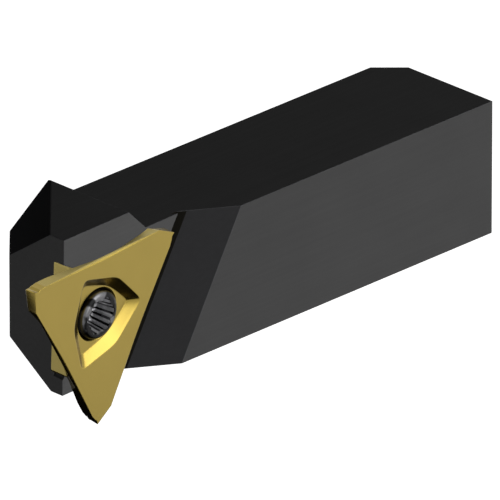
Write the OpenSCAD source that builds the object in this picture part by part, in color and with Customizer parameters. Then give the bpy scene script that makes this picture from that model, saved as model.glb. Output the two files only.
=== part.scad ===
// External grooving and turning tool holder: a square shank with a raised head,
// a three-cornered carbide insert and the screw that clamps it in its pocket.
// X runs forward to the cutting edge, Y to the insert's side and Z up.
// The origin is on the shank's bottom face, at the middle of the clamped length.

/* [Shank] */
// Width and height of the square shank
shank_size = 16; // [12:1:20]
// Length from the back end to the holder's front face
holder_len = 63.6; // [60:0.1:80]
// Distance from the back end to the origin, half of the clamped length
clamp_half = 20; // [15:1:25]
// Chamfer on the left upright edge of the back end
back_chamfer = 3; // [1:0.5:4]

/* [Head] */
// Height of the head's top above the shank's top
head_rise = 2.7; // [1.5:0.1:4]
// Length of the raised top along the flank
head_top_len = 10.2; // [8:0.1:14]
// Width of the front face that the corner cut leaves
front_face_w = 11.4; // [9:0.1:13]
// Height of the bevel over and under the corner cut
corner_bevel = 4.5; // [2:0.1:6]

/* [Flank beside the insert] */
// Set-back of the flank from the shank's right side, at the front's top edge
flank_setback = 2.9; // [2:0.1:4]
// Turn of the flank away from the feed direction
flank_toe = 1.5; // [0:0.1:3]
// Lean of the flank, with its foot set back
flank_lean = 1.1; // [0:0.1:3]
// Distance from the back end to the foot of the sloping wall, on the shank's top
wall_start = 43.8; // [38:0.1:46]
// Angle of the sloping wall to the shank's side
wall_angle = 32.6; // [25:0.1:45]
// Rake of the sloping wall, which tips its face up
wall_rake = 17.2; // [10:0.1:25]
// Width of the relief groove at the wall's foot
groove_w = 0.5; // [0.3:0.1:0.8]
// Depth of the relief groove below the flank
groove_depth = 0.5; // [0.2:0.1:0.8]

/* [Insert] */
// Reach of the cutting edge past the holder's front face
edge_reach = 7.6; // [6:0.1:8]
// Set-out of the cutting edge's corner past the shank's right side
edge_set_out = 0.34; // [0:0.01:1]
// Turn of the insert, for clearance behind the cutting edge
insert_toe = 3.1; // [1:0.1:4]
// Lean of the insert, for clearance below the cutting edge
insert_lean = 2.3; // [1:0.1:4]
// Distance from the insert's centre to each cutting corner
corner_radius = 13; // [12.8:0.1:13.2]
// Distance from the insert's centre to the level of its cutting edge
edge_offset = 6.73; // [6.6:0.01:6.8]
// Width of the cutting edge, the thickness of the insert's plate
edge_w = 1.45; // [1:0.05:2]
// Height of the end face under the cutting edge
end_face_h = 2.35; // [1.5:0.05:2.6]
// Clearance angle of the end face
end_clearance = 7; // [3:1:10]
// Rise of the chip former behind the cutting edge
chip_rise = 0.33; // [0.1:0.01:0.4]
// Dip in the middle of each side of the plate
side_dip = 0.28; // [0.1:0.01:0.4]
// Thickness of the whole insert, plate and boss
insert_thick = 3.95; // [3.5:0.05:4.5]
// Distance from the insert's centre to the boss's three sides
boss_inradius = 3.83; // [3.6:0.01:3.9]

/* [Screw recess of the insert] */
// Depth of the three-sided recess round the screw
recess_depth = 0.66; // [0.3:0.01:0.8]
// Radius of each of the recess's three bowed sides
recess_side_r = 10.2; // [9:0.1:12]
// Distance from the insert's centre to the middle of a recess side
recess_reach = 4.4; // [4:0.1:4.6]
// Width of the recess's sloping sides
recess_slope = 0.95; // [0.5:0.05:1.2]
// Diameter of the countersink's rim
sink_d = 6.4; // [6:0.1:6.8]
// Diameter of the insert's screw hole
hole_d = 4.4; // [4.2:0.1:4.8]

/* [Insert screw] */
// Diameter of the screw's thread
screw_d = 4; // [3.5:0.5:4]
// Diameter of the screw's head
screw_head_d = 5.6; // [5:0.1:5.8]
// Distance from the insert's face down to the rim of the head
screw_head_sink = 0.95; // [0.8:0.05:1.1]
// Height of the head's domed top
screw_dome = 0.2; // [0.1:0.05:0.3]
// Length of the screw below the rim of its head
screw_len = 8.5; // [7:0.5:9]
// Diameter across the lobes of the key socket
socket_d = 3.3; // [2.8:0.1:3.4]
// Depth of the key socket
socket_depth = 1.3; // [1:0.1:1.6]

/* [Hidden] */
$fn = 64;
eps = 0.01;
far = 60;
half_w = shank_size / 2;
head_top = shank_size + head_rise;
front_x = holder_len - clamp_half;
back_x = -clamp_half;
// Plan angle of the cut across the head's left corner
corner_angle = 45;
corner_y = half_w - front_face_w;
flank_y = half_w - flank_setback;

// The cutting corner lies level with the shank's top, and the insert hangs from it
corner_dir = asin(edge_offset / corner_radius);
corner_x = corner_radius * cos(corner_dir);
insert_x = front_x + edge_reach - corner_x * cos(insert_toe);
insert_y = half_w + edge_set_out - corner_x * sin(insert_toe) - edge_offset * sin(insert_lean);
insert_z = shank_size - edge_offset * cos(insert_lean);

// Flats of the chip former behind the cutting edge
chip_land = 0.5;
chip_run = 1.1;
dip_steps = 8;
boss_corner_r = 2 * boss_inradius;
boss_half_side = boss_inradius * sqrt(3);
pocket_relief_r = 0.95;
tap_runout = 1.2;

// The countersink and the screw's head share one sixty degree cone
sink_slope = tan(30);
sink_depth = (sink_d - hole_d) / 2 / sink_slope;
head_seat_depth = recess_depth + (sink_d - screw_head_d) / 2 / sink_slope;
head_cone_h = (screw_head_d - screw_d) / 2 / sink_slope;
tap_depth = screw_head_sink + screw_len + tap_runout;
drill_tip_h = screw_d / 2 / tan(59);
thread_chamfer = 0.5;
lobe_r = 0.42;
lobe_gap = 0.12;

module insert_frame() {
    translate([insert_x, insert_y, insert_z])
        rotate([-insert_lean, 0, insert_toe])
            rotate([90, 0, 0]) children();
}

module bar() {
    rotate([90, 0, 0])
        linear_extrude(shank_size, center = true)
            polygon([
                [back_x, 0],
                [front_x, 0],
                [front_x, head_top],
                [front_x - head_top_len, head_top],
                [front_x - head_top_len - head_rise, shank_size],
                [back_x, shank_size]
            ]);
}

// Everything behind the plane that cuts the head's left corner, with its two bevels
module corner_envelope() {
    translate([front_x, corner_y, 0])
        rotate([0, 0, 180 - corner_angle])
            rotate([90, 0, 0])
                linear_extrude(3 * far, center = true)
                    polygon([
                        [0, corner_bevel],
                        [0, head_top - corner_bevel],
                        [corner_bevel + eps, head_top + eps],
                        [2 * far, head_top + eps],
                        [2 * far, -eps],
                        [corner_bevel + eps, -eps]
                    ]);
}

module back_corner() {
    translate([back_x, -half_w, shank_size / 2])
        rotate([0, 0, 45])
            cube([back_chamfer * sqrt(2), back_chamfer * sqrt(2), 2 * shank_size], center = true);
}

// Space outside the flank, lowered by depth
module beyond_flank(depth) {
    translate([front_x, flank_y, head_top])
        rotate([-flank_lean, 0, flank_toe])
            translate([-far, -depth, -far])
                cube([2 * far, far, 2 * far]);
}

// Space in front of the sloping wall, up to the given thickness
module before_wall(thickness) {
    translate([back_x + wall_start, flank_y, shank_size])
        rotate([0, 0, 90 - wall_angle])
            rotate([0, -wall_rake, 0])
                translate([0, -far, -far])
                    cube([thickness, 2 * far, 2 * far]);
}

module flank_cut() {
    intersection() {
        beyond_flank(0);
        before_wall(2 * far);
    }
    intersection() {
        beyond_flank(groove_depth);
        before_wall(groove_w);
    }
}

// Three-sided outline of the boss, with one side facing the front
module boss_outline() {
    polygon([
        [-boss_corner_r, 0],
        [boss_inradius, -boss_half_side],
        [boss_inradius, boss_half_side]
    ]);
}

// Pocket for the boss, with clearance at its rear and lower corners, and the tapped hole
module pocket() {
    translate([0, 0, -eps]) {
        linear_extrude(insert_thick + eps) boss_outline();
        translate([-boss_corner_r, 0, 0]) cylinder(h = insert_thick + eps, r = pocket_relief_r);
        translate([boss_inradius, -boss_half_side, 0])
            cylinder(h = insert_thick + eps, r = pocket_relief_r);
        cylinder(h = tap_depth, d = screw_d);
    }
    translate([0, 0, tap_depth - 2 * eps])
        cylinder(h = drill_tip_h, d1 = screw_d, d2 = 0);
}

module holder() {
    color([0.11, 0.11, 0.12])
        difference() {
            intersection() {
                bar();
                corner_envelope();
            }
            back_corner();
            flank_cut();
            insert_frame() pocket();
        }
}

// One corner of the plate's outline, from the foot of its end face to the next corner
function corner_points() = let (
    foot = [corner_x - end_face_h * tan(end_clearance), edge_offset - end_face_h],
    next_foot = [
        foot[0] * cos(120) - foot[1] * sin(120),
        foot[0] * sin(120) + foot[1] * cos(120)
    ],
    crest = [corner_x - chip_land - chip_run, edge_offset + chip_rise]
) concat(
    [foot, [corner_x, edge_offset], [corner_x - chip_land, edge_offset - chip_rise / 3]],
    [for (i = [0:dip_steps - 1]) let (t = i / dip_steps)
        crest + (next_foot - crest) * t - [0, side_dip * 4 * t * (1 - t)]]
);

module plate_outline() {
    polygon([for (turn = [0, 120, 240]) for (p = corner_points())
        [p[0] * cos(turn) - p[1] * sin(turn), p[0] * sin(turn) + p[1] * cos(turn)]]);
}

// Rounded three-sided recess with sloping sides, each side part of a cone
module screw_recess() {
    centre_shift = recess_side_r - recess_reach;
    intersection_for(turn = [60, 180, 300])
        rotate([0, 0, turn])
            translate([centre_shift, 0, -eps])
                cylinder(h = recess_depth + eps, r1 = recess_side_r, r2 = recess_side_r - recess_slope);
}

module insert() {
    color([0.66, 0.57, 0.28])
        insert_frame()
            difference() {
                union() {
                    linear_extrude(edge_w) plate_outline();
                    translate([0, 0, edge_w - eps])
                        linear_extrude(insert_thick - edge_w + eps) boss_outline();
                }
                screw_recess();
                translate([0, 0, recess_depth - eps])
                    cylinder(h = sink_depth, d1 = sink_d, d2 = hole_d);
                cylinder(h = insert_thick + eps, d = hole_d);
            }
}

// Six-lobed key socket
module socket() {
    lobe_centre = socket_d / 2 - lobe_r;
    difference() {
        union() {
            cylinder(h = socket_depth, r = lobe_centre + lobe_gap);
            for (turn = [0:60:300]) rotate([0, 0, turn])
                translate([lobe_centre, 0, 0]) cylinder(h = socket_depth, r = lobe_r);
        }
        for (turn = [30:60:330]) rotate([0, 0, turn])
            translate([socket_d / 2, 0, -eps]) cylinder(h = socket_depth + 2 * eps, r = lobe_r);
    }
}

module insert_screw() {
    rim_h = head_seat_depth - screw_head_sink;
    color([0.2, 0.2, 0.21])
        insert_frame()
            difference() {
                rotate_extrude()
                    polygon([
                        [0, screw_head_sink - screw_dome],
                        [screw_head_d / 2 - screw_dome * 2, screw_head_sink - screw_dome],
                        [screw_head_d / 2, screw_head_sink],
                        [screw_head_d / 2, screw_head_sink + rim_h],
                        [screw_d / 2, screw_head_sink + rim_h + head_cone_h],
                        [screw_d / 2, screw_head_sink + screw_len - thread_chamfer],
                        [screw_d / 2 - thread_chamfer, screw_head_sink + screw_len],
                        [0, screw_head_sink + screw_len]
                    ]);
                translate([0, 0, screw_head_sink - screw_dome - eps]) socket();
            }
}

holder();
insert();
insert_screw();
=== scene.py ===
import math
import bmesh
import bpy
import numpy as np
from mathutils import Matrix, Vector


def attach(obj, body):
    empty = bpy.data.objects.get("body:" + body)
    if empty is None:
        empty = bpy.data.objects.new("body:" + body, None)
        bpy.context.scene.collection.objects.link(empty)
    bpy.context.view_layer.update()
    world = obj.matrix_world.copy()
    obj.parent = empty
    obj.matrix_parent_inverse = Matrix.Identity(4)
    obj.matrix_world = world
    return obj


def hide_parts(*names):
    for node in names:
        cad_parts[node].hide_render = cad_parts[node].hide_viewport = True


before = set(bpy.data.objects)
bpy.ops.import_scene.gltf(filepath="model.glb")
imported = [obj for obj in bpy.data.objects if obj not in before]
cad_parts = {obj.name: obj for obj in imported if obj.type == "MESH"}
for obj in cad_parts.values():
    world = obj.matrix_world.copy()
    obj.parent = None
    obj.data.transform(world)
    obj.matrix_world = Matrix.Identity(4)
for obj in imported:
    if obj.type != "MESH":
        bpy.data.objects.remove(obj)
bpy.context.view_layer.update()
mm = 0.001


# Camera
# The tool is seen from in front, above and the insert's side, from so far away that
# its edges stay all but parallel, as in a catalogue picture. The long lens gives that.
view_azimuth = math.radians(134.84)
view_elevation = math.radians(24.55)
view_from = Vector((
    math.sin(view_azimuth) * math.cos(view_elevation),
    -math.cos(view_azimuth) * math.cos(view_elevation),
    math.sin(view_elevation)))
view_centre = Vector((15.05, 5.12, 8.36)) * mm
view_distance = 2.2795
catalogue_camera = bpy.data.cameras.new("catalogue_camera")
catalogue_camera.lens = 1500
catalogue_camera.sensor_width = 36
catalogue_camera.clip_start = 0.5
catalogue_camera.clip_end = 20
camera_object = bpy.data.objects.new("catalogue_camera", catalogue_camera)
camera_object.location = view_centre + view_from * view_distance
camera_object.rotation_mode = "QUATERNION"
camera_object.rotation_quaternion = (-view_from).to_track_quat("-Z", "Y")
bpy.context.collection.objects.link(camera_object)
bpy.context.scene.camera = camera_object
bpy.context.scene.view_settings.view_transform = "Standard"


# Studio
# The tool is held by its shank well over a white table, with one soft lamp on the insert's
# side. A panel on the same side shows in reflections alone, and the room looks bright all
# round but sends the tool hardly any light.
tool_middle = Vector((20, 0, 8)) * mm
lamp_distance = 1.0


def soft_lamp(name, towards, width, level):
    """A square lamp in the given direction that faces the tool; level 1 lights a face that
    looks straight at it so that its colour renders as written: power = level * (pi * distance)^2."""
    lamp = bpy.data.lights.new(name, "AREA")
    lamp.shape = "SQUARE"
    lamp.size = width
    lamp.energy = level * (math.pi * lamp_distance) ** 2
    direction = Vector(towards).normalized()
    lamp_object = bpy.data.objects.new(name, lamp)
    lamp_object.location = tool_middle + direction * lamp_distance
    lamp_object.rotation_mode = "QUATERNION"
    lamp_object.rotation_quaternion = (-direction).to_track_quat("-Z", "Y")
    bpy.context.collection.objects.link(lamp_object)
    return lamp_object


side_lamp = soft_lamp("side_lamp", (-0.62, 0.74, 0.27), 0.3, 0.77)
side_lamp.visible_glossy = False
high_panel = soft_lamp("high_panel", (-0.282, 0.913, 0.295), 0.86, 0.96)
high_panel.visible_diffuse = False


def seen_directly(nodes, links):
    """1 for a ray from the camera, in a reflection or through glass, and 0 for a ray that lights
    the tool: the greatest of the three kinds of ray."""
    ray = nodes.new("ShaderNodeLightPath")
    camera_or_reflection = nodes.new("ShaderNodeMath")
    camera_or_reflection.operation = "MAXIMUM"
    links.new(ray.outputs["Is Camera Ray"], camera_or_reflection.inputs[0])
    links.new(ray.outputs["Is Glossy Ray"], camera_or_reflection.inputs[1])
    any_of_three = nodes.new("ShaderNodeMath")
    any_of_three.operation = "MAXIMUM"
    links.new(camera_or_reflection.outputs["Value"], any_of_three.inputs[0])
    links.new(ray.outputs["Is Transmission Ray"], any_of_three.inputs[1])
    return any_of_three.outputs["Value"]


# The room is a little over white, and fades overhead, where a ray climbs more than 0.75 of its length
room = bpy.data.worlds.new("dim_room")
room.use_nodes = True
room_nodes, room_links = room.node_tree.nodes, room.node_tree.links
room_nodes.clear()
room_out = room_nodes.new("ShaderNodeOutputWorld")
room_air = room_nodes.new("ShaderNodeBackground")
room_air.inputs["Strength"].default_value = 1.0
room_coordinates = room_nodes.new("ShaderNodeTexCoord")
room_height = room_nodes.new("ShaderNodeSeparateXYZ")
room_fade = room_nodes.new("ShaderNodeMapRange")
room_fade.inputs["From Min"].default_value = 0.75
room_fade.inputs["From Max"].default_value = 1.00
room_fade.inputs["To Min"].default_value = 1.25
room_fade.inputs["To Max"].default_value = 0.30
room_mix = room_nodes.new("ShaderNodeMix")
room_mix.data_type = "RGBA"
room_mix.inputs["A"].default_value = (0.03, 0.03, 0.03, 1)
room_links.new(room_coordinates.outputs["Generated"], room_height.inputs["Vector"])
room_links.new(room_height.outputs["Z"], room_fade.inputs["Value"])
room_links.new(seen_directly(room_nodes, room_links), room_mix.inputs["Factor"])
room_links.new(room_fade.outputs["Result"], room_mix.inputs["B"])
room_links.new(room_mix.outputs["Result"], room_air.inputs["Color"])
room_links.new(room_air.outputs["Background"], room_out.inputs["Surface"])
bpy.context.scene.world = room


def level_sheet(name, corners, height):
    """A flat sheet that lies level at the given height, with the given corners in order."""
    mesh = bpy.data.meshes.new(name)
    mesh.from_pydata([(x, y, height) for x, y in corners], [], [tuple(range(len(corners)))])
    sheet = bpy.data.objects.new(name, mesh)
    bpy.context.collection.objects.link(sheet)
    return sheet


def matt_paint(name, grey, roughness):
    """An even grey that reflects no highlight."""
    paint = bpy.data.materials.new(name)
    paint.use_nodes = True
    shader = paint.node_tree.nodes["Principled BSDF"]
    shader.inputs["Base Color"].default_value = (grey, grey, grey, 1)
    shader.inputs["Roughness"].default_value = roughness
    shader.inputs["Specular IOR Level"].default_value = 0.0
    return paint


table_half, table_height = 6.0, -75 * mm
pale_table = level_sheet("pale_table", [
    (-table_half, -table_half), (table_half, -table_half),
    (table_half, table_half), (-table_half, table_half)], table_height)
table_paint = matt_paint("white_table_paint", 0.80, 0.9)
table_nodes, table_links = table_paint.node_tree.nodes, table_paint.node_tree.links
table_shader = table_nodes["Principled BSDF"]
table_glow = table_nodes.new("ShaderNodeMapRange")
table_glow.inputs["To Min"].default_value = 0.55
table_glow.inputs["To Max"].default_value = 0.98
table_links.new(seen_directly(table_nodes, table_links), table_glow.inputs["Value"])
table_shader.inputs["Emission Color"].default_value = (1, 1, 1, 1)
table_links.new(table_glow.outputs["Result"], table_shader.inputs["Emission Strength"])
pale_table.data.materials.append(table_paint)

# A black card lies under the head, where photographers put one, so that the insert's
# downward slopes reflect something dark. The camera itself does not see it.
card_height = -30 * mm
black_card = level_sheet("black_card", [
    (-4 * mm, -70 * mm), (95 * mm, -70 * mm), (95 * mm, 52 * mm),
    (22 * mm, 52 * mm), (10 * mm, 30 * mm), (-4 * mm, 18 * mm)], card_height)
black_card.visible_camera = False
black_card.visible_diffuse = False
black_card.data.materials.append(matt_paint("black_felt", 0.004, 1.0))


# Holder
# One bar of alloy steel, milled to its head, flank and pocket, hardened, ground on the
# shank's faces and blackened. Its sharp edges are broken by about a tenth of a millimetre.
flank_toe, flank_lean = math.radians(1.5), math.radians(1.1)
wall_angle, wall_rake = math.radians(32.6), math.radians(17.2)
front_face, shank_half, shank_top, head_top = 43.6, 8.0, 16.0, 18.7
flank_setback = 2.9
head_start = 18 * mm
edge_width, least_edge, least_edge_angle = 0.09 * mm, 1.2 * mm, math.radians(12)
weld_reach, flat_within = 0.002 * mm, math.radians(0.6)
# The blackened steel first, then lighter and darker copies of it that are painted light and shade on the
# head
holder_tones = [
    ("blackened_steel", (0.067, 0.067, 0.067)),
    # A lighter copy for the broken edges: a painted highlight
    ("edge_painted_highlight", (0.085, 0.085, 0.088)),
    # A lighter copy for the flank: painted light
    ("flank_painted_light", (0.084, 0.084, 0.084)),
    # A darker copy for the sloping wall: painted shade
    ("wall_painted_shade", (0.050, 0.050, 0.052)),
    # A near black copy for the groove and the strip of wall next to the flank: painted shade
    ("groove_painted_shade", (0.014, 0.013, 0.010)),
    # A dark copy for the bevel over the head's left corner: painted shade
    ("corner_bevel_painted_shade", (0.027, 0.027, 0.028))]
edge_slot, painted_light_flank_slot, painted_shade_wall_slot, painted_shade_groove_slot, painted_shade_bevel_slot = range(1, 6)


def own_material(name, metallic):
    """A new material with its nodes, links and shader, and the coordinates of the piece itself,
    which its patterns read."""
    material = bpy.data.materials.new(name)
    material.use_nodes = True
    nodes, links = material.node_tree.nodes, material.node_tree.links
    shader = nodes["Principled BSDF"]
    shader.inputs["Metallic"].default_value = metallic
    place = nodes.new("ShaderNodeTexCoord").outputs["Object"]
    return material, nodes, links, shader, place


def clouds_at(nodes, links, place, scale, detail):
    """Cloudy noise round one half, about scale clouds to the metre, with finer ones as detail grows."""
    noise = nodes.new("ShaderNodeTexNoise")
    noise.inputs["Scale"].default_value = scale
    noise.inputs["Detail"].default_value = detail
    links.new(place, noise.inputs["Vector"])
    return noise


def between(nodes, links, amount, least, most):
    """A value that runs evenly from least to most as the amount runs from 0 to 1."""
    spread = nodes.new("ShaderNodeMapRange")
    spread.inputs["To Min"].default_value = least
    spread.inputs["To Max"].default_value = most
    links.new(amount, spread.inputs["Value"])
    return spread.outputs["Result"]


def between_colours(nodes, links, amount, darkest, lightest):
    """A colour that runs evenly from the darkest to the lightest as the amount runs from 0 to 1."""
    tone = nodes.new("ShaderNodeMix")
    tone.data_type = "RGBA"
    tone.inputs["A"].default_value = darkest + (1,)
    tone.inputs["B"].default_value = lightest + (1,)
    links.new(amount, tone.inputs["Factor"])
    return tone.outputs["Result"]


def scaled(colour, factor):
    """The colour made lighter or darker by one factor."""
    return tuple(part * factor for part in colour)


def finely_rough(nodes, links, shader, height, depth):
    """Tips the shader's normal as a tenth of a relief of the given depth in metres would."""
    bump = nodes.new("ShaderNodeBump")
    bump.inputs["Strength"].default_value = 0.10
    bump.inputs["Distance"].default_value = depth
    links.new(height, bump.inputs["Height"])
    links.new(bump.outputs["Normal"], shader.inputs["Normal"])


def blackened_steel(name, colour):
    """Black oxide: a dark film with faint clouds, over fine grinding lines that run along the bar.
    The lines are noise that is stretched along X, and their relief is added to that of a fine grain."""
    steel, nodes, links, shader, place = own_material(name, 0.0)
    shader.inputs["Specular IOR Level"].default_value = 0.0
    along_bar = nodes.new("ShaderNodeMapping")
    along_bar.inputs["Scale"].default_value = (60, 2600, 2600)
    links.new(place, along_bar.inputs["Vector"])
    grinding = clouds_at(nodes, links, along_bar.outputs["Vector"], 1.0, 3.0).outputs["Fac"]
    clouds = clouds_at(nodes, links, place, 140, 4.0).outputs["Fac"]
    grain = clouds_at(nodes, links, place, 5200, 2.0).outputs["Fac"]
    streak = nodes.new("ShaderNodeMix")
    streak.data_type = "RGBA"
    streak.blend_type = "MULTIPLY"
    streak.inputs["Factor"].default_value = 0.16
    links.new(
        between_colours(nodes, links, clouds, scaled(colour, 0.93), scaled(colour, 1.07)),
        streak.inputs["A"])
    links.new(grinding, streak.inputs["B"])
    links.new(streak.outputs["Result"], shader.inputs["Base Color"])
    links.new(between(nodes, links, clouds, 0.50, 0.66), shader.inputs["Roughness"])
    height = nodes.new("ShaderNodeMath")
    height.operation = "ADD"
    links.new(grinding, height.inputs[0])
    links.new(grain, height.inputs[1])
    finely_rough(nodes, links, shader, height.outputs["Value"], 0.02 * mm)
    return steel


def edge_broken_copy(node, name, materials, sort_slots):
    """The node's own faces, merged to plain polygons, with each long outer edge cut back by a
    narrow rounded bevel. An edge is long past least_edge and outer where its faces turn away by
    more than least_edge_angle. The given sorting function puts the polygons in their material
    slots, and the bevel's faces take the edge slot."""
    mesh = bpy.data.meshes.new(name)
    shape = bmesh.new()
    shape.from_mesh(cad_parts[node].data)
    bmesh.ops.remove_doubles(shape, verts=shape.verts, dist=weld_reach)
    bmesh.ops.dissolve_limit(shape, angle_limit=flat_within, verts=shape.verts, edges=shape.edges)
    sort_slots(shape)
    weight = shape.edges.layers.float.new("bevel_weight_edge")
    for edge in shape.edges:
        if len(edge.link_faces) == 2 and edge.calc_length() > least_edge and edge.is_convex:
            if edge.calc_face_angle() > least_edge_angle:
                edge[weight] = 1.0
    shape.to_mesh(mesh)
    shape.free()
    for material in materials:
        mesh.materials.append(material)
    piece = bpy.data.objects.new(name, mesh)
    bpy.context.collection.objects.link(piece)
    bevel = piece.modifiers.new("broken_edges", "BEVEL")
    bevel.limit_method = "WEIGHT"
    bevel.width = edge_width
    bevel.segments = 2
    # The bevel's faces take the lighter edge copy, a painted highlight
    bevel.material = edge_slot
    return piece


flank_point = Vector((front_face, shank_half - flank_setback, head_top)) * mm
flank_normal = Vector((
    -math.sin(flank_toe) * math.cos(flank_lean),
    math.cos(flank_toe) * math.cos(flank_lean),
    -math.sin(flank_lean)))
wall_normal = Vector((
    math.sin(wall_angle) * math.cos(wall_rake),
    math.cos(wall_angle) * math.cos(wall_rake),
    math.sin(wall_rake)))
corner_bevel_normal = Vector((1, -1, math.sqrt(2))) / 2
same_way, very_same_way = 0.999, 0.9995
# The first number is how far outside the flank's plane the groove's painted shade reaches up the wall
painted_shade_margin, groove_floor, plane_play = 0.18 * mm, 0.5 * mm, 0.1 * mm


def sort_painted_light_and_shade(shape):
    """Sorts the holder's polygons on the head, where the flank is ground and the wall and the bevel
    over the left corner are milled, to lighter and darker copies of the black that are painted light
    and shade: a face in the flank's plane is drawn lighter, the sloping wall and the bevel darker,
    and what lies below the flank's plane, the groove, near black. The wall is first cut in two a
    little outside the flank's plane, so that the strip of it next to the flank gets the groove's
    painted shade too."""
    wall = [face for face in shape.faces if face.normal.dot(wall_normal) > same_way]
    wall_edges = list({edge for face in wall for edge in face.edges})
    wall_corners = list({corner for face in wall for corner in face.verts})
    bmesh.ops.bisect_plane(
        shape, geom=wall + wall_edges + wall_corners,
        plane_co=flank_point + flank_normal * painted_shade_margin, plane_no=flank_normal)
    shape.faces.ensure_lookup_table()
    for face in shape.faces:
        centre = face.calc_center_median()
        depth = (flank_point - centre).dot(flank_normal)
        flank_way, wall_way = face.normal.dot(flank_normal), face.normal.dot(wall_normal)
        if centre.x < head_start:
            continue
        if face.normal.dot(corner_bevel_normal) > same_way:
            face.material_index = painted_shade_bevel_slot
        elif flank_way > very_same_way and abs(depth) < plane_play / 2:
            face.material_index = painted_light_flank_slot
        elif wall_way > same_way and depth < -painted_shade_margin:
            face.material_index = painted_shade_wall_slot
        elif abs(wall_way) > same_way:
            face.material_index = painted_shade_groove_slot
        elif abs(flank_way) > very_same_way and -plane_play < depth < groove_floor + plane_play:
            face.material_index = painted_shade_groove_slot


holder_body = edge_broken_copy(
    "holder", "holder_body",
    [blackened_steel(name, colour) for name, colour in holder_tones], sort_painted_light_and_shade)
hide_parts("holder")
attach(holder_body, "root")


# Insert
# A plate of cemented carbide with three cutting corners, pressed and sintered with its boss,
# ground on the edges and coated gold. A recess with three bowed sides leaves room for the screw.
insert_toe, insert_lean = math.radians(3.1), math.radians(2.3)
edge_reach, edge_set_out = 7.6, 0.34
corner_reach, edge_level = 11.122, 6.73
plate_thick, insert_thick, boss_inradius, boss_reach = 1.45, 3.95, 3.83, 7.62
chip_land, chip_run, chip_depth, chip_steepness, crest_rise = 0.10, 1.5, 0.12, 2.2, 0.18
deepest_relief, deepest_at, rise_behind, rise_ahead = 0.92, -1.2, 8.1, 9.0
recess_depth, rim_break, recess_rim_reach, recess_foot_reach = 0.85, 0.04, 4.62, 3.36
rim_knee, foot_knee = math.radians(15.5), math.radians(11.8)
hole_radius, sink_rim_radius, sink_depth, hole_chamfer = 2.2, 3.1, 1.54, 0.15
least_round, more_round, round_fullness, round_bow = 0.04, 0.26, 0.6, 1.15
boss_round, boss_fillet = 0.18, 0.12
boss_sharpness, knee_sharpness, recess_sharpness = 20.0, 5.0, 2.4
insert_steps, finest_step, side_margin = 480, 2e-4, 0.01
insert_centre = np.array([
    front_face + edge_reach - corner_reach * math.cos(insert_toe),
    shank_half + edge_set_out - corner_reach * math.sin(insert_toe) - edge_level * math.sin(insert_lean),
    shank_top - edge_level * math.cos(insert_lean)])


def gold_coating(name, colour, least_roughness, most_roughness):
    """Gold nitride on carbide: a metal gloss with faint clouds and a fine grain."""
    gold, nodes, links, shader, place = own_material(name, 1.0)
    clouds = clouds_at(nodes, links, place, 420, 4.0).outputs["Fac"]
    grain = clouds_at(nodes, links, place, 9000, 2.0).outputs["Fac"]
    links.new(
        between_colours(nodes, links, clouds, scaled(colour, 0.96), scaled(colour, 1.04)),
        shader.inputs["Base Color"])
    links.new(
        between(nodes, links, clouds, least_roughness, most_roughness), shader.inputs["Roughness"])
    finely_rough(nodes, links, shader, grain, 0.01 * mm)
    return gold


def outline_radius(corners, angles):
    """Distance from the centre to a closed outline at each angle: the outline's corners are sorted
    by their own angle, and the ray meets the straight side between the two corners it passes."""
    corner_angles = np.arctan2(corners[:, 1], corners[:, 0])
    order = np.argsort(corner_angles)
    in_order = corners[order]
    before = np.searchsorted(corner_angles[order], angles, side="right") - 1
    start, end = in_order[before % len(order)], in_order[(before + 1) % len(order)]
    side = end - start
    ray = np.stack([np.cos(angles), np.sin(angles)], axis=1)
    return (start[:, 0] * side[:, 1] - start[:, 1] * side[:, 0]) / (
        ray[:, 0] * side[:, 1] - ray[:, 1] * side[:, 0])


def three_times(points):
    """The same points, and again turned by one third and two thirds of a turn, in one array."""
    turns = np.radians([0, 120, 240])[:, None]
    x = points[:, 0] * np.cos(turns) - points[:, 1] * np.sin(turns)
    y = points[:, 0] * np.sin(turns) + points[:, 1] * np.cos(turns)
    return np.stack([x.ravel(), y.ravel()], axis=1)


def angle_of(point):
    """The angle of a point round the insert's centre."""
    return math.atan2(point[1], point[0])


def softly_least(distances, sharpness):
    """The least of several distances at each angle, with the change from one to the next rounded:
    minus the logarithm of the sum of exp(-sharpness * distance), divided by the sharpness."""
    return -np.log(np.exp(-sharpness * distances).sum(axis=0)) / sharpness


def insert_to_part(x, y, depth):
    """From the insert's face (x forward, y up, depth into the holder, in mm) to the part, in metres:
    stood upright, leaned back at its foot, turned for clearance and moved to the insert's centre."""
    lean_cos, lean_sin = math.cos(insert_lean), math.sin(insert_lean)
    toe_cos, toe_sin = math.cos(insert_toe), math.sin(insert_toe)
    side, up = -depth * lean_cos + y * lean_sin, depth * lean_sin + y * lean_cos
    forward, side = x * toe_cos - side * toe_sin, x * toe_sin + side * toe_cos
    return (np.stack([forward, side, up], axis=-1) + insert_centre) * mm


def ring_grids(rings, ones):
    """Radii and depths of a stack of rings as two grids [ring, turn], from a list of pairs. Each
    radius or depth is one number, one value for each turn, or several such rows."""
    radii = np.vstack([radius * ones for radius, depth in rings])
    depths = np.vstack([depth * ones for radius, depth in rings])
    return radii, depths


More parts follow.
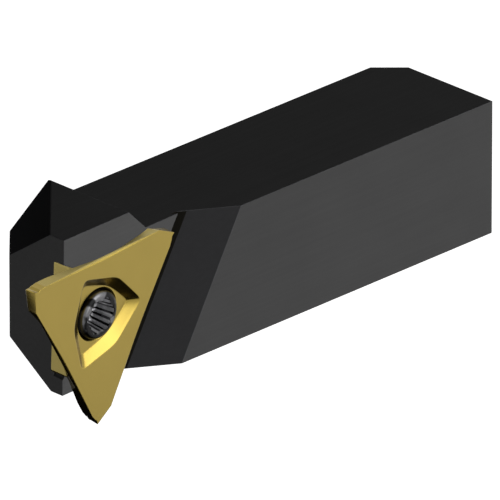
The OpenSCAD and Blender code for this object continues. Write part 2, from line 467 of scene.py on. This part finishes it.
def woven_rings(name, radii, depths, turns, closed):
    """A surface of revolution whose radius changes with the turn: the points radius * (cos, sin) of
    the turn, at their depth, are joined to four-sided faces, ring to ring and round the turn. The
    last ring joins the first if closed, and else both ends shut in a pole. The rings run from the
    inside of the front outwards and on to the rear, so that the faces look out."""
    points = insert_to_part(radii * np.cos(turns), radii * np.sin(turns), depths)
    rings, count = radii.shape
    ring = np.arange(rings if closed else rings - 1)[:, None] * count
    next_ring = (ring + count) % (rings * count)
    here = np.arange(count)
    beside = (here + 1) % count
    corners = [ring + beside, next_ring + beside, next_ring + here, ring + here]
    faces = np.stack(corners, axis=-1).reshape(-1, 4).tolist()
    vertices = points.reshape(-1, 3)
    if not closed:
        last, first_pole = (rings - 1) * count, np.full(count, rings * count)
        faces += np.stack([beside, here, first_pole], axis=-1).tolist()
        faces += np.stack([last + here, last + beside, first_pole + 1], axis=-1).tolist()
        vertices = np.concatenate([vertices, points[[0, -1]].mean(axis=1)])
    mesh = bpy.data.meshes.new(name)
    mesh.from_pydata(vertices.tolist(), [], faces)
    piece = bpy.data.objects.new(name, mesh)
    bpy.context.collection.objects.link(piece)
    return piece


# The front outline: an end face, a chip former behind the cutting corner, and a straight side
end_face_foot = np.array([[10.87, 4.11]])
cutting_corner = np.array([[corner_reach, edge_level]])
next_foot = three_times(end_face_foot)[1]
run = np.linspace(0, 1, 9)[1:, None]
hollow = np.sin(np.pi * np.minimum(run * chip_steepness, 1))
chip_former = np.concatenate([
    corner_reach - chip_land - chip_run * run,
    edge_level - chip_depth * hollow + crest_rise * run ** 2], axis=1)
crest = chip_former[-1]
along = np.linspace(0, 1, 25)[1:-1, None]
straight_side = crest + (next_foot - crest) * along
front_outline = three_times(np.concatenate([end_face_foot, cutting_corner, chip_former, straight_side]))

# The rear outline: the same with clearance, and each side hollowed from its deepest place along a
# parabola towards the corner behind and a straight line towards the corner ahead
rear_foot = np.array([[10.55, 3.83]])
rear_corner = cutting_corner + np.array([[0.01, -0.14]])
past_deepest = straight_side[:, :1] - deepest_at
side_relief = deepest_relief * np.clip(np.where(
    past_deepest < 0, 1 - (past_deepest / rise_behind) ** 2, 1 - past_deepest / rise_ahead), 0, 1)
hollow_side = straight_side - np.array([[0, 1]]) * side_relief
rear_outline = three_times(np.concatenate([rear_foot, rear_corner, chip_former, hollow_side]))

# The turns: even steps and the angle of each corner of the two outlines
outline_corners = np.concatenate([front_outline, rear_outline])
insert_turns = np.unique(np.round(np.concatenate([
    np.arctan2(outline_corners[:, 1], outline_corners[:, 0]),
    np.linspace(-np.pi, np.pi, insert_steps, endpoint=False)]), 5))
insert_turns = insert_turns[np.concatenate([[True], np.diff(insert_turns) > finest_step])]
insert_ones = np.ones_like(insert_turns)
front_radius = outline_radius(front_outline, insert_turns)

# The boss is a triangle whose corners are cut to arcs round the centre
boss_corners = np.array([[-2, 0], [1, -math.sqrt(3)], [1, math.sqrt(3)]]) * boss_inradius
boss_radius = outline_radius(boss_corners, insert_turns)
boss_radius = softly_least(np.stack([boss_radius, boss_reach * insert_ones]), boss_sharpness)
rear_radius = np.maximum(outline_radius(rear_outline, insert_turns), boss_radius + boss_fillet)


def recess_radius(reach, knee):
    """Three-sided recess with a knee in the middle of each side: on each side the least of two
    straight lines whose normals stand at the knee angle either way, then the least of the sides.
    A line that a ray does not meet, or meets at a very low angle, counts as far away."""
    least_cos, far_away = 0.12, 40.0
    middles = np.radians([0, 120, 240])[:, None]
    halves = []
    for tilt in (-knee, knee):
        away = (insert_turns[None, :] - middles - tilt + np.pi) % (2 * np.pi) - np.pi
        met = np.cos(away) > least_cos
        halves.append(np.where(met, reach * math.cos(knee) / np.where(met, np.cos(away), 1), far_away))
    return softly_least(softly_least(np.stack(halves), knee_sharpness), recess_sharpness)


recess_rim = recess_radius(recess_rim_reach, rim_knee)
recess_foot = recess_radius(recess_foot_reach, foot_knee)
slope = np.linspace(0.8, 0.2, 4)[:, None]
slope_radius = recess_rim + (recess_foot - recess_rim) * slope
slope_depth = rim_break + (recess_depth - rim_break) * slope

# The upper edges of the sides are rounded, most in the middle of each side
side_span = (angle_of(next_foot) - angle_of(crest)) % (2 * np.pi / 3)
past_crest = (insert_turns - angle_of(crest)) % (2 * np.pi / 3)
on_side = np.clip(past_crest / side_span, 0, 1)
edge_round = least_round + more_round * np.sin(np.pi * on_side) ** round_fullness
round_turn = np.radians(np.linspace(90, 0, 7))[:, None]
round_radius = front_radius - round_bow * edge_round * (1 - np.cos(round_turn))
round_depth = edge_round * (1 - np.sin(round_turn))
up_side = np.linspace(0.75, 0, 4)[:, None]
side_radius = rear_radius + (front_radius - rear_radius) * up_side
side_foot = plate_thick - 0.05
side_depth = side_foot - (side_foot - edge_round) * up_side

# The profile starts at the hole's rear end and runs over the sink, the recess and the front to
# the side, and then over the boss to the rear. Steps of 0.02 to 0.14 mm break its edges.
inner_rings = [
    (hole_radius, insert_thick - hole_chamfer),
    (hole_radius, recess_depth + sink_depth),
    (sink_rim_radius - 0.04, recess_depth + 0.06),
    (sink_rim_radius + 0.05, recess_depth),
    (recess_foot - 0.08, recess_depth),
    (recess_foot + 0.05, recess_depth - 0.03),
    (slope_radius, slope_depth),
    (recess_rim + 0.04, 0.02),
    (recess_rim + 0.14, 0.0),
    (front_radius - round_bow * edge_round - 0.06, 0.0)]
side_rings = [(round_radius, round_depth), (side_radius, side_depth)]
rear_rings = [
    (rear_radius - 0.04, plate_thick),
    (boss_radius + 0.10, plate_thick),
    (boss_radius + 0.03, plate_thick + 0.03),
    (boss_radius, plate_thick + boss_fillet),
    (boss_radius, insert_thick - boss_round),
    (boss_radius - 0.05, insert_thick - 0.05),
    (boss_radius - boss_round, insert_thick),
    (hole_radius + hole_chamfer, insert_thick)]
insert_radius, insert_depth = ring_grids(inner_rings + side_rings + rear_rings, insert_ones)
insert_plate = woven_rings("cutting_insert", insert_radius, insert_depth, insert_turns, closed=True)
insert_plate.data.materials.append(gold_coating("coated_carbide", (0.258, 0.191, 0.042), 0.23, 0.28))
# The second copy is rougher and lighter: the lighter colour is painted light
insert_plate.data.materials.append(gold_coating("upper_side_painted_light", (0.365, 0.298, 0.103), 0.62, 0.70))

# The plate's upper side, from half way round its edge to the rear, and the boss's front and upper
# sides, from its fillet to its own rounded edge, take a rougher, duller copy of the gold whose
# lighter colour is painted light
bands_to_edge = len(ring_grids(inner_rings, insert_ones)[0])
bands_to_rear = bands_to_edge + len(round_turn) + len(up_side)
upper_side = (insert_turns > angle_of(crest) + side_margin) & (
    insert_turns < angle_of(next_foot) - side_margin)
insert_slots = np.zeros(insert_radius.shape, dtype=np.int32)
insert_slots[bands_to_edge + len(round_turn) // 2:bands_to_rear - 1] = upper_side
insert_slots[bands_to_rear + 2:bands_to_rear + 5] = insert_turns > math.radians(-60)
insert_plate.data.polygons.foreach_set("material_index", insert_slots.ravel())

# The catalogue picture shows neither a shadow of the insert on the flank nor its glow
insert_plate.visible_shadow = False
insert_plate.visible_diffuse = False
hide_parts("insert")
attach(insert_plate, "root")


# Insert screw
# A countersunk screw of black alloy steel with a six-lobed key socket and a rolled thread.
# Its cone pulls the insert's boss against two walls of the pocket as it is tightened.
head_radius, head_seat, head_edge, dome_width, dome_height = 2.80, 0.95, 0.59, 0.55, 0.38
socket_foot_radius, socket_rim_radius, lobe_height, flute_height = 1.66, 1.98, 0.14, 0.07
socket_end, socket_floor, socket_middle, socket_mouth, socket_lip = 2.62, 2.52, 1.40, 0.27, 0.21
thread_outer_radius, thread_height, thread_pitch, thread_steps = 1.96, 0.36, 0.7, 8
thread_start, thread_end, thread_fade, flank_rise, crest_flat = 4.10, 9.25, 0.5, 2.3, 0.1
neck_radius, neck_start, neck_end = 1.98, 2.70, 2.80
tip_radius, tip_start, tip_flat_radius, tip_end = 1.55, 9.42, 1.20, 9.44
screw_steps, socket_bands, rib_level = 192, 3, -0.3


def oiled_black_steel(name, darkest, lightest, least_roughness, most_roughness):
    """Blackened alloy steel with a little oil: a dark metal gloss whose colour runs from the darkest to
    the lightest in patches of noise; the lighter patches are painted reflections.
    """
    steel, nodes, links, shader, place = own_material(name, 0.9)
    noise = clouds_at(nodes, links, place, 620, 1.0)
    noise.noise_dimensions = "4D"
    noise.inputs["W"].default_value = 3.4
    clouds = noise.outputs["Fac"]
    patches = nodes.new("ShaderNodeMapRange")
    patches.inputs["From Min"].default_value = 0.47
    patches.inputs["From Max"].default_value = 0.55
    links.new(clouds, patches.inputs["Value"])
    links.new(
        between_colours(nodes, links, patches.outputs["Result"], darkest, lightest),
        shader.inputs["Base Color"])
    links.new(
        between(nodes, links, clouds, least_roughness, most_roughness), shader.inputs["Roughness"])
    return steel


screw_turns = np.linspace(-np.pi, np.pi, screw_steps, endpoint=False)
flutes = np.cos(18 * screw_turns)
socket_wave = lobe_height * np.cos(6 * screw_turns) + flute_height * flutes
socket_foot, socket_rim = socket_foot_radius + socket_wave, socket_rim_radius + socket_wave

# The head's edge is most of a quarter of an ellipse. The thread is a ridge that climbs one pitch
# a turn, with a flat crest and a flat foot, and fades at both ends.
dome_turn = np.radians(np.linspace(83, 0, 6))[:, None]
dome_radius = head_radius - dome_width * (1 - np.cos(dome_turn))
dome_depth = head_edge - dome_height * np.sin(dome_turn)
thread_depth = np.arange(thread_start, thread_end, thread_pitch / thread_steps)[:, None]
thread_phase = (thread_depth / thread_pitch - screw_turns[None, :] / (2 * np.pi)) % 1.0
thread_strength = np.clip((thread_depth - thread_start) / thread_fade, 0, 1) * np.clip(
    (thread_end - thread_depth) / thread_fade, 0, 1)
thread_groove = np.clip(np.abs(thread_phase - 0.5) * flank_rise - crest_flat, 0, 1)
thread_radius = thread_outer_radius - thread_height * thread_strength * thread_groove
screw_rings = [
    (socket_foot / 2, socket_end),
    (socket_foot, socket_floor),
    ((socket_foot + socket_rim) / 2, socket_middle),
    (socket_rim, socket_mouth),
    (socket_rim + 0.04, socket_lip + 0.01),
    (socket_rim + 0.10, socket_lip),
    (dome_radius, dome_depth),
    (head_radius, head_seat),
    (neck_radius, neck_start),
    (thread_outer_radius, neck_end),
    (thread_radius, thread_depth),
    (tip_radius, tip_start),
    (tip_flat_radius, tip_end)]
screw_radius, screw_depth = ring_grids(screw_rings, np.ones_like(screw_turns))
clamp_screw = woven_rings("clamp_screw", screw_radius, screw_depth, screw_turns, closed=False)
# On the head the lighter patches are painted reflections
clamp_screw.data.materials.append(
    oiled_black_steel("screw_steel", (0.003, 0.003, 0.003), (0.105, 0.105, 0.109), 0.24, 0.34))
# A light grey copy for the socket's ribs: painted light
clamp_screw.data.materials.append(
    oiled_black_steel("socket_ribs_painted_light", (0.42, 0.42, 0.43), (0.62, 0.62, 0.63), 0.42, 0.52))

# The socket's ribs take a light grey copy and the hollows between them stay black: painted light
# and shade on the flutes
screw_slots = np.zeros(len(clamp_screw.data.polygons), dtype=np.int32)
screw_slots[:socket_bands * len(screw_turns)] = np.tile(flutes > rib_level, socket_bands)
clamp_screw.data.polygons.foreach_set("material_index", screw_slots)
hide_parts("insert_screw")
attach(clamp_screw, "root")
